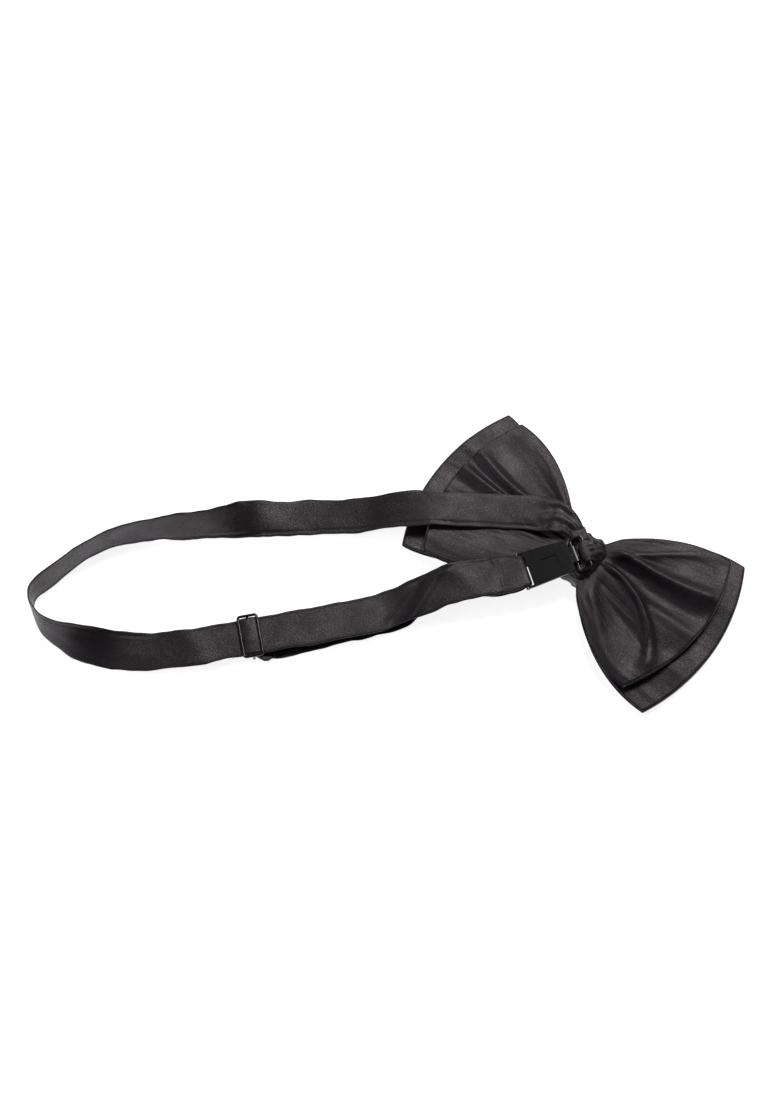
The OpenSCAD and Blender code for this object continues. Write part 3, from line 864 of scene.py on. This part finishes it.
class TIE_OT_knot(bpy.types.Operator):
    """Build the creased wrap of the knot, its lining strip and its thread"""

    bl_idname = "tie.knot"
    bl_label = "Knot"

    def execute(self, context):
        cloth = context.scene.tie_cloth
        around, along = 150, 56
        rows, flat = [], []
        for i in range(along):
            share = i / (along - 1)
            rows.append([knot_point(share, j / around) for j in range(around)])
            flat.append([(share * 15, 56 * abs(2 * (j / around) - 1) / 2) for j in range(around)])
        for row, way in ((0, 1), (-1, -1)):
            hem = []
            for p in rows[row]:
                centre = from_bow(0, 0, KNOT_TOP / 2)
                inward = Vector((0, 0, centre.z)) + Vector((p.x, p.y, 0)) * 0.9 - p
                hem.append(p + inward.normalized() * 0.7 + from_bow(way * 0.6, 0, 0))
            rows.insert(0 if row == 0 else len(rows), hem)
            flat.insert(0 if row == 0 else len(flat), flat[row])
        wrap = sheet_of("knot_satin_wrap", rows, flat, cloth.ply, wrap_points=True, offset=-1)
        finish_piece(wrap, "Knot satin", "bow_satin", "knot_wrap")
        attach(wrap, "bow")

        strip = add_mesh("knot_lining_strip", *strip_form())
        thick = strip.modifiers.new("Felt", "SOLIDIFY")
        thick.thickness = FELT_T * MM
        finish_piece(strip, "Interfacing", "interfacing", "knot_interfacing")
        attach(strip, "bow")

        sew("waist_binding", [binding_path()], "waist_thread", "bow")
        slant = from_bow(0.35, 1, 0).normalized()
        closing = [stitch_path(from_bow(2.4 * i, -5.2, KNOT_TOP + 0.1), slant, UP, 2.0)
                   for i in range(-2, 3)]
        sew("knot_closing_stitches", closing, "knot_stitches", "bow")
        return {"FINISHED"}


def strip_form():
    """The strip of lining inside the front of the wrap, slightly bowed."""
    rows = []
    for i in range(15):
        u = mix(-7, 7, i / 14)
        rows.append([from_bow(u, mix(-5.9, 5.9, j / 12), 1.3 + 0.25 * (j / 6 - 1) ** 2)
                     for j in range(13)])
    return [p for row in rows for p in row], grid(rows)


def binding_path():
    """Thread wound round the pinched waist, turn beside turn."""
    path = []
    turns, steps = 9, 28
    low, top = WAIST_LOW - 0.25, WAIST_LOW + 2 * WAIST_T + 0.35
    for i in range(turns * steps + 1):
        turn = 2 * math.pi * i / steps
        side = math.copysign(abs(math.sin(turn)) ** 0.5, math.sin(turn)) * (WAIST_HALF + 0.25)
        rise = math.copysign(abs(math.cos(turn)) ** 0.5, math.cos(turn)) * (top - low) / 2
        path.append(from_bow(-2.5 + 5 * i / (turns * steps), side, (top + low) / 2 + rise))
    return path


# --- The ring's tab -------------------------------------------------------------------


class TIE_OT_ring_tab(bpy.types.Operator):
    """Build the satin tab that holds the ring to the knot"""

    bl_idname = "tie.ring_tab"
    bl_label = "Ring tab"

    def execute(self, context):
        cloth = context.scene.tie_cloth
        bar = Vector((TAB_BAR.x, TAB_BAR.y, 0))

        def at(n, place, a):
            x, z = place
            half = 4.4 - 1.6 * ease((x - 2) / 5) + 0.3 * rough(n * 0.25, 4)
            wave = 0.35 * rough(x * 0.6, a * 3, 2) + 0.38 * ridged(x * 0.34, a * 2.3, 6)
            puff = 1 + 1.35 * (1 - a ** 4) if x < 0 else 1
            point = bar + CLASP_FLAT_X * x * puff + CLASP_Y * (a * half)
            point += CLASP_FLAT_X * (-0.9 * a * a * ease(x / 5))
            droop = 2.4 * ease((abs(a) - 0.45) / 0.55) * ease(x / 3)
            point.z = z + wave * ease(abs(x) / 1.6) - droop
            return point, (n * 0.8, a * half)

        rows, flat = woven(tab_profile(1.05), 33, at)
        tab = sheet_of("ring_tab_satin", rows, flat, cloth.ply, offset=0)
        finish_piece(tab, "Knot satin", "bow_satin", "ring_tab")
        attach(tab, "bow")
        sewn = [stitch_path(Vector((TAB_BAR.x, TAB_BAR.y, KNOT_TOP + 0.9)) + CLASP_FLAT_X * 4.4
                            + CLASP_Y * (i * 1.7), (CLASP_Y + CLASP_FLAT_X * 0.4).normalized(),
                            UP, 1.5) for i in range(-2, 3)]
        sew("ring_tab_sewing", sewn, "ring_tab_stitches", "bow")
        return {"FINISHED"}


def tab_profile(sleeve):
    """The tab seen from the side: along the knot, round the ring's bar and back."""
    bar = TAB_BAR.z
    under = [(x, mix(KNOT_TOP - 0.4, bar - sleeve, ease(1 - x / 3.2)))
             for x in (5.6, 4.6, 3.6, 2.8, 2.0, 1.3, 0.6)]
    around = [(-sleeve * math.sin(t), bar - sleeve * math.cos(t))
              for t in (math.pi * i / 10 for i in range(11))]
    over = [(x, mix(bar + sleeve, KNOT_TOP - 0.4, max(0.0, x / 6.6) ** 1.9))
            for x in (0.5, 1.1, 1.7, 2.3, 2.9, 3.6, 4.2, 4.8, 5.4, 6.0, 6.6)]
    return under + around + over


# --- The neck band ---------------------------------------------------------------------


def between(points, i, t):
    """A smooth value between points i and i + 1 of a route."""
    last = len(points) - 1
    a, b, c, d = (points[min(max(i + n, 0), last)] for n in (-1, 0, 1, 2))
    return tuple(0.5 * (2 * q + (r - p) * t + (2 * p - 5 * q + 4 * r - s) * t * t
                        + (3 * q - p - 3 * r + s) * t * t * t)
                 for p, q, r, s in zip(a, b, c, d))


def sample_route(route, steps):
    """Points along a route, and the distance run at each."""
    samples = [between(route, i, n / steps) for i in range(len(route) - 1) for n in range(steps)]
    samples.append(tuple(float(c) for c in route[-1]))
    run = [0.0]
    for a, b in zip(samples, samples[1:]):
        run.append(run[-1] + math.dist(a[:3], b[:3]))
    return samples, run


def route_frames(route, steps=STEPS):
    """The strap's middle, its directions across and outwards, and its width, at each sample."""
    samples, run = sample_route(route, steps)
    frames = []
    for i, (x, y, z, roll, width) in enumerate(samples):
        a, b = samples[max(i - 1, 0)], samples[min(i + 1, len(samples) - 1)]
        way = Vector((b[0] - a[0], b[1] - a[1], 0)).normalized()
        side = Vector((-way.y, way.x, 0))
        angle = math.radians(roll)
        across = side * math.cos(angle) + Vector((0, 0, math.sin(angle)))
        out = Vector((-side.x * math.sin(angle), -side.y * math.sin(angle), math.cos(angle)))
        lift = z + STRAP_T / 2 * abs(math.cos(angle)) + width / 2 * math.sin(angle)
        middle = Vector((x, y, lift))
        frames.append((middle, across, out, width, run[i]))
    return frames


def slider_place(d, y, z, roll, width):
    p = from_slider(d, y, z)
    return (p.x, p.y, z, roll, width)


def clasp_place(x, y, z, roll, width):
    """A place of the route near the hook, x from the hook's strap bar and z from its axis."""
    p = HOOK_BAR + CLASP_X * x + CLASP_Y * y + CLASP_Z * z
    return (p.x, p.y, p.z - STRAP_T / 2, roll, width)


def near_route():
    """From the end of the turn to the hook's bar, along the upper run."""
    level = SLIDER_MID - 0.1
    straight = [slider_place(d, y, level - 0.05, 0, STRAP_W)
                for d, y in ((-24, 0), (-14, 0), (0, 0), (20, 0), (44, 0.1), (56, 1.4))]
    ends = [clasp_place(-8.5, 1.6, 1.35, 0, 16), clasp_place(-4.5, 0.6, 1.3, 0, 15.6),
            clasp_place(-2, 0.1, 1.25, 0, 14.2),
            clasp_place(0, -0.1, loop_radius(), 0, HOOK_FOLD_W)]
    return ([TURN_ROUTE[-1], (-180, -35.5, 0.2, 15, 15), (-166, -36, 1.6, 2, 15)] + straight
            + LIFT_ROUTE + ends)


def loop_radius():
    return BAR_R + 0.08 + STRAP_T / 2


# The stretches of the far and near runs that lie over the bow
STRAPS_OVER_BOW = ([p for p in sample_route(FAR_ROUTE, STEPS)[0] if p[0] > -90]
                   + [p for p in sample_route(near_route(), STEPS)[0] if p[0] > -70])


def loop_frames(start_run):
    """The strap's fold round the hook's bar, from its top to its bottom."""
    frames = []
    steps = 12
    for i in range(1, steps):
        turn = math.pi * i / steps
        out = CLASP_X * math.sin(turn) + CLASP_Z * math.cos(turn)
        width = HOOK_FOLD_W - 0.2 * math.sin(turn)
        slack = CLASP_X * (0.75 * math.sin(turn))
        middle = HOOK_BAR + out * loop_radius() + slack + CLASP_Y * (-0.1)
        frames.append((middle, CLASP_Y.copy(), out, width, start_run + turn * loop_radius()))
    return frames


def under_hook_route():
    """The first stretch of the return run, from the bottom of the fold."""
    return [clasp_place(0, -0.1, -loop_radius(), 180, HOOK_FOLD_W),
            clasp_place(-2, 0.1, -1.25, 180, 14.2), clasp_place(-4.5, 0.6, -1.25, 180, 15.4),
            clasp_place(-8.5, 1.5, -1.25, 180, 15.4), RETURN_START]


def return_route():
    """The lower run, from near the hook back to the slider's middle bar."""
    far_end = [slider_place(d, y, z, 180, w) for d, y, z, w in (
        (56, 0.6, 0.5, 15), (45, 0.2, 0.2, 15), (32, -0.9, 0.15, 15), (20, -1.6, 0.15, 15),
        (11, -2.2, 0.15, 14.6), (6.5, -2.2, 0.15, 13.4), (3, -1.8, 0.15, 11))]
    return [RETURN_START] + RETURN_LIFT + far_end


def strap_kind(place, out):
    """Which of the strap's runs a place of it is on."""
    if place.y > 3 or place.x < -186:
        return "far"
    return "return" if out.z < 0 else "near"


def strap_crease(kind, run, a, place):
    """How far the strap's face stands out of its plane, from its ripples and creases."""
    x = place.x
    held = 1.0
    if kind != "far":
        held = ease(abs(x - SLIDER_X) / 14) * ease((-29 - x) / 10)
        held *= mix(0.25, 1, max(ease((x + 86) / 10), ease((-142 - x) / 8)))
    ripple = 0.34 * rough(run / 11, a * 1.1, 3) + 0.16 * ridged(run / 17, a * 0.9, 9)
    height = ripple * (0.35 + 0.65 * abs(a)) * held
    if kind == "far":
        gather = ease((30 - run) / 22)
        tucks = 0.42 * math.cos(a * 7 + run * 0.25) + 0.35 * ridged(run / 5, a * 2.2, 1)
        height += gather * tucks
        height *= mix(1, 0.6, ease((8 - run) / 8))
    if kind == "near":
        for centre, slope, tall, wide in NEAR_CREASES:
            off = (x - centre) - slope * a
            height += tall * bell(off, wide) * held
    return height


def strap_rows(frames):
    """Cross-sections of the strap, a pressed flat tube with a seam near one edge."""
    rows, flat = [], []
    for middle, across, out, width, run in frames:
        kind = strap_kind(middle, out)
        low_wave = 0.95 * rough(run / 11, 21) + 0.35 * rough(run / 4.5, 22)
        high_wave = 0.95 * rough(run / 13, 31) + 0.35 * rough(run / 5, 32)
        held = 1
        if kind != "far":
            held = ease(abs(middle.x - SLIDER_X) / 12) * ease((-27 - middle.x) / 6)
        row, laid = [], []
        for face in (1, -1):
            for i in range(FACE_POINTS):
                a = -face * math.cos(math.pi * (i + 0.5) / FACE_POINTS)
                shift = (high_wave * max(0, a) - low_wave * max(0, -a)) * held
                round_off = math.sqrt(max(0.0, 1 - abs(a) ** 8))
                half = STRAP_T / 2 * (round_off * 0.9 + 0.1)
                seam = -0.8 if face < 0 else 0.82
                groove = -0.28 * bell((a - seam) * width / 2, 0.38)
                hem = 0.1 * ease((abs(a) - 0.8) / 0.05) if a * seam > 0 else 0
                off = face * (half + groove + hem) + strap_crease(kind, run, a, middle)
                row.append(middle + across * (a * width / 2 + shift) + out * off)
                laid.append((run, a * width / 2))
        rows.append(row)
        flat.append(laid)
    return rows, flat


def keep_on_table(rows):
    for row in rows:
        for p in row:
            p.z = max(p.z, 0.02)


class TIE_OT_neck_band(bpy.types.Operator):
    """Build the neck band: its far run, turn, near run with the fold round the hook, and return"""

    bl_idname = "tie.neck_band"
    bl_label = "Neck band"

    def execute(self, context):
        upper = FAR_ROUTE[:-1] + TURN_ROUTE[:-1] + near_route()
        frames = route_frames(upper)
        cuts = [0, (len(FAR_ROUTE) - 1) * STEPS, (len(FAR_ROUTE) + len(TURN_ROUTE) - 2) * STEPS]
        frames += loop_frames(frames[-1][4])
        under = under_hook_route()
        cuts.append(len(frames) + (len(under) - 1) * STEPS)
        frames += self.carry_on(route_frames(under + return_route()[1:]), frames[-1][4])
        cuts.append(len(frames) - 1)
        rows, flat = strap_rows(frames)
        keep_on_table(rows)
        normals = tube_normals(rows)
        count = len(rows[0])
        pieces = {}
        for part, start, end in zip(("far", "turn", "near", "return"), cuts, cuts[1:]):
            obj = tube_of(f"neck_strap_{part}", rows[start:end + 1], flat[start:end + 1],
                          normals[start * count:(end + 1) * count])
            finish_piece(obj, "Band satin", "band_satin")
            pieces[part] = obj
        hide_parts("neck_band_far")
        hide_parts("neck_band_near", "hook_loop")
        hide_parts("neck_band_return")
        root, past_root = Vector(FAR_ROUTE[1][:3]) * MM, Vector(FAR_ROUTE[4][:3]) * MM
        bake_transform(pieces["far"])
        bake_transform(pieces["turn"])
        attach(pieces["near"], "band_near")
        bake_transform(pieces["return"])
        self.sew_root()
        return {"FINISHED"}

    @staticmethod
    def carry_on(frames, run):
        """The same frames, counting their distance on from an earlier stretch."""
        return [(*frame[:4], frame[4] + run) for frame in frames]

    @staticmethod
    def sew_root():
        """The strap's turned-in end, sewn down on the knot, and its stitches."""
        start = Vector((TAB_BAR.x, TAB_BAR.y, KNOT_TOP)) + CLASP_Y * 4.7

        def at(i, d, a):
            crumple = 0.22 * ridged(d * 0.4, a * 2.4, 12) + 0.1 * rough(d, a * 5, 3)
            edge = min(1 - abs(a), i / 14, 1 - i / 14)
            p = start + CLASP_FLAT_X * (a * 3.1) + CLASP_Y * d
            p.z += 0.45 + crumple * ease(edge * 4) - 0.35 * (1 - ease(edge * 6))
            return p, (d, a * 3)

        rows, flat = woven([6.2 * i / 14 for i in range(15)], 21, at)
        end = sheet_of("neck_strap_sewn_end", rows, flat, 0.00035, offset=-1)
        finish_piece(end, "Band satin", "band_satin", "band_sewn_end")
        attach(end, "bow")
        sewn = [stitch_path(start + CLASP_FLAT_X * (i * 1.5) + CLASP_Y * 0.9 + Vector((0, 0, 0.5)),
                            (CLASP_Y + CLASP_FLAT_X * 0.3).normalized(), UP, 1.3)
                for i in (-1, 0, 1)]
        sew("neck_strap_end_sewing", sewn, "band_end_stitches", "bow")


# --- The slider's cloth ------------------------------------------------------------------


class TIE_OT_slider_cloth(bpy.types.Operator):
    """Build the strap's end folded round the slider's middle bar, its stitches and the hump"""

    bl_idname = "tie.slider_cloth"
    bl_label = "Slider cloth"

    def execute(self, context):
        cloth = context.scene.tie_cloth
        bar = SLIDER_LOW.z + WIRE_R
        round_bar = WIRE_R + 0.12 + cloth.ply / MM / 2
        top = [(x, bar + mix(round_bar, -0.35, ease(x / 6)))
               for x in (6.8, 5.6, 4.4, 3.2, 2.0, 1.0)]
        sweep = [(-round_bar * math.sin(t), bar + round_bar * math.cos(t))
                 for t in (math.pi * i / 12 for i in range(13))]
        low = [(x, bar - mix(round_bar, 0.95, ease(x / 4))) for x in (1.0, 2.2, 3.6, 5.2, 7.0, 8.4)]

        def at(n, place, a):
            x, z = place
            spread = 7.2 + 0.5 * ease(x / 6)
            sag = -2.3 * ease(-a * 1.3) * ease(x / 4) * (1 - 0.5 * ease((x - 5) / 3))
            wave = 0.12 * rough(x * 0.5, a * 4, 5)
            return from_slider(x, a * spread + sag, z + wave * ease(x / 2)), (n, a * spread)

        rows, flat = woven(top + sweep + low, 49, at)
        fold = sheet_of("slider_strap_end", rows, flat, cloth.ply, offset=0)
        finish_piece(fold, "Band satin", "band_satin", "slider_loop")
        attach(fold, "slider")

        sewn = [stitch_path(from_slider(4.6, i * 2.1, bar + 0.35), SLIDE_Y, UP, 1.4)
                for i in range(-2, 4)]
        sew("slider_end_sewing", sewn, "slider_loop_stitches", "slider")
        self.hump(cloth)
        return {"FINISHED"}

    @staticmethod
    def hump(cloth):
        """The strap where it rises between the slider's two end bars."""
        level = SLIDER_MID + 0.62
        reach = 4.3

        def at(_, x, a):
            dome = math.cos(math.pi / 2 * x / reach) ** 0.8
            rise = (0.95 * dome) * (1 - 0.35 * a * a) + 0.15 * dome * rough(x * 0.4, a * 3, 4)
            drop = -0.75 * ease((abs(a) - 0.9) / 0.1) * dome
            side = a * (7.55 + 0.25 * dome) + 0.25 * dome
            return from_slider(x, side, level + rise + drop), (x, a * 7.5)

        rows, flat = woven([mix(-reach, reach, i / 24) for i in range(25)], 49, at)
        obj = sheet_of("slider_strap_hump", rows, flat, cloth.ply, offset=-1)
        finish_piece(obj, "Band satin", "band_satin")
        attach(obj, "slider")


# --- Hook, ring and slider ------------------------------------------------------------------


class TIE_OT_hardware(bpy.types.Operator):
    """Give the hook, the ring and the slider their black enamel"""

    bl_idname = "tie.hardware"
    bl_label = "Hook, ring and slider"

    def execute(self, context):
        for name in ("hook", "eye_ring", "slider"):
            piece = frame["nodes"][name]
            piece.data.materials.clear()
            piece.data.materials.append(get_material("Black enamel"))
            if name == "hook":
                soften = piece.modifiers.new("Soft edges", "BEVEL")
                soften.width = 0.00014
                soften.segments = 3
                soften.limit_method = "ANGLE"
                soften.angle_limit = math.radians(35)
        return {"FINISHED"}


# --- Stage ---------------------------------------------------------------------------------


class TIE_OT_stage(bpy.types.Operator):
    """Set out the floor, the lights and the camera"""

    bl_idname = "tie.stage"
    bl_label = "Stage"

    def execute(self, context):
        scene = context.scene
        settings = scene.tie_stage
        scene.view_settings.view_transform = "Standard"
        target = Vector((-0.0795, 0.0053, 0.0053))
        away = Vector((0, -math.cos(settings.elevation), math.sin(settings.elevation)))
        lens = bpy.data.cameras.new("Camera")
        lens.lens = settings.lens
        camera = bpy.data.objects.new("Camera", lens)
        camera.location = target + away * settings.distance
        camera.rotation_euler = (-away).to_track_quat("-Z", "Y").to_euler()
        scene.collection.objects.link(camera)
        scene.camera = camera
        self.floor()
        self.light("Softbox", (0.22, 0.66, 0.98), target, 0.5, settings.key, (1.0, 0.96, 0.92))
        self.light("Fill", (-0.9, -0.1, 0.7), target, 0.5, settings.key * 0.2, (0.9, 0.93, 1.0))
        world = bpy.data.worlds.new("Room")
        world.use_nodes = True
        back = world.node_tree.nodes["Background"]
        back.inputs["Color"].default_value = (1, 1, 1, 1)
        seen = world.node_tree.nodes.new("ShaderNodeLightPath")
        strength = node(world.node_tree, "ShaderNodeMapRange", in_3=settings.sky, in_4=0.9)
        world.node_tree.links.new(seen.outputs["Is Camera Ray"], strength.inputs[0])
        world.node_tree.links.new(strength.outputs[0], back.inputs["Strength"])
        scene.world = world
        return {"FINISHED"}

    @staticmethod
    def floor():
        size = 6
        obj = add_mesh("Floor", [(x * size / MM, y * size / MM, 0) for x, y in
                                 ((-1, -1), (1, -1), (1, 1), (-1, 1))], [(0, 1, 2, 3)])
        material, _, shader = start_material("Pale floor")
        shader.inputs["Base Color"].default_value = (0.93, 0.93, 0.93, 1)
        shader.inputs["Roughness"].default_value = 0.9
        shader.inputs["Specular IOR Level"].default_value = 0.1
        shader.inputs["Emission Color"].default_value = (1, 1, 1, 1)
        shader.inputs["Emission Strength"].default_value = 0.85
        obj.data.materials.append(material)

    @staticmethod
    def light(name, place, target, size, power, colour):
        lamp = bpy.data.lights.new(name, "AREA")
        lamp.shape = "RECTANGLE"
        lamp.size, lamp.size_y = size, size * 0.7
        lamp.energy = power
        lamp.color = colour
        obj = bpy.data.objects.new(name, lamp)
        obj.location = place
        obj.rotation_euler = (target - Vector(place)).to_track_quat("-Z", "Y").to_euler()
        bpy.context.scene.collection.objects.link(obj)


# --- Panel and registration -------------------------------------------------------------------


class TIE_PT_panel(bpy.types.Panel):
    """Lists the pieces of the tie in the order in which they are built"""

    bl_idname = "TIE_PT_panel"
    bl_label = "Bow tie"
    bl_space_type = "VIEW_3D"
    bl_region_type = "UI"
    bl_category = "Bow tie"

    def draw(self, context):
        for group in (context.scene.tie_cloth, context.scene.tie_metal, context.scene.tie_stage):
            box = self.layout.box()
            for name in group.__annotations__:
                box.prop(group, name)
        for operator in OPERATORS:
            self.layout.operator(operator.bl_idname)


SETTINGS = {"tie_cloth": TieClothSettings, "tie_metal": TieMetalSettings,
            "tie_stage": TieStageSettings}
OPERATORS = (TIE_OT_stage, TIE_OT_bow, TIE_OT_knot, TIE_OT_ring_tab, TIE_OT_neck_band,
             TIE_OT_slider_cloth, TIE_OT_hardware)
CLASSES = (*SETTINGS.values(), *OPERATORS, TIE_PT_panel)


def register():
    for cls in CLASSES:
        bpy.utils.register_class(cls)
    for name, settings in SETTINGS.items():
        setattr(bpy.types.Scene, name, bpy.props.PointerProperty(type=settings))


def unregister():
    for name in SETTINGS:
        delattr(bpy.types.Scene, name)
    for cls in reversed(CLASSES):
        bpy.utils.unregister_class(cls)


def main():
    register()
    for operator in OPERATORS:
        group, name = operator.bl_idname.split(".")
        getattr(getattr(bpy.ops, group), name)()


if __name__ == "__main__":
    main()
